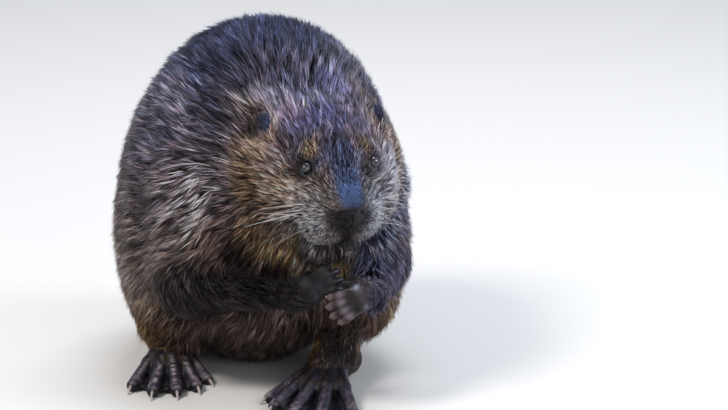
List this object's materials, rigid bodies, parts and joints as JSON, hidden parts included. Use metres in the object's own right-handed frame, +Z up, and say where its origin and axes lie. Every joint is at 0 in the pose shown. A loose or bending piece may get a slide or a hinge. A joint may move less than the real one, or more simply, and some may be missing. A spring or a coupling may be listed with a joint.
{
  "type": "american beaver",
  "caption": "Still, life-size adult American beaver sitting up on its haunches with its forepaws together under the chin and its flat tail laid out behind.",
  "frame": {"origin": "on the floor below the middle of the whole model's box", "axes": "+Z up; the beaver faces -Y, its left side is +X, its tail runs towards +Y"},
  "size_m": [0.3392, 0.7398, 0.3964],
  "materials": {
    "coat": "dense guard hair over underfur, dark blackish brown with a cool sheen on the back and warm brown tips on the flanks",
    "face_coat": "short coat, greyish brown crown, ochre brows, reddish tan cheeks, grey whisker pads and a ginger chin fringe",
    "ear_skin": "thin dark skin with very short hair",
    "eye": "wet, nearly black",
    "nose_leather": "fine pebbled wet skin, blue-black",
    "paw_skin": "wrinkled dark skin with a blue-grey bloom on the knuckles",
    "foot_leather": "scaly webbed skin, dark slate with paler pinkish toe tips",
    "tail_scales": "flat paddle of small overlapping scales, nearly black",
    "claw": "horn, brown at the root and paler towards the tip"
  },
  "bodies": {
    "root": {"trunk": "coat", "neck": "coat", "head": "face_coat", "foreleg_left": "coat", "foreleg_right": "coat", "hind_leg_left": "coat", "hind_leg_right": "coat", "tail": "tail_scales", "hind_foot_left": "foot_leather", "hind_foot_right": "foot_leather", "forepaw_left": "paw_skin", "forepaw_right": "paw_skin", "ear_left": "ear_skin", "ear_right": "ear_skin", "eye_left": "eye", "eye_right": "eye", "nose_pad": "nose_leather", "hind_claw_left_1": "claw", "hind_claw_left_2": "claw", "hind_claw_left_3": "claw", "hind_claw_left_4": "claw", "hind_claw_left_5": "claw", "fore_claw_left_1": "claw", "fore_claw_left_2": "claw", "fore_claw_left_3": "claw", "fore_claw_left_4": "claw", "hind_claw_right_1": "claw", "hind_claw_right_2": "claw", "hind_claw_right_3": "claw", "hind_claw_right_4": "claw", "hind_claw_right_5": "claw", "fore_claw_right_1": "claw", "fore_claw_right_2": "claw", "fore_claw_right_3": "claw", "fore_claw_right_4": "claw"}
  },
  "joints": []
}
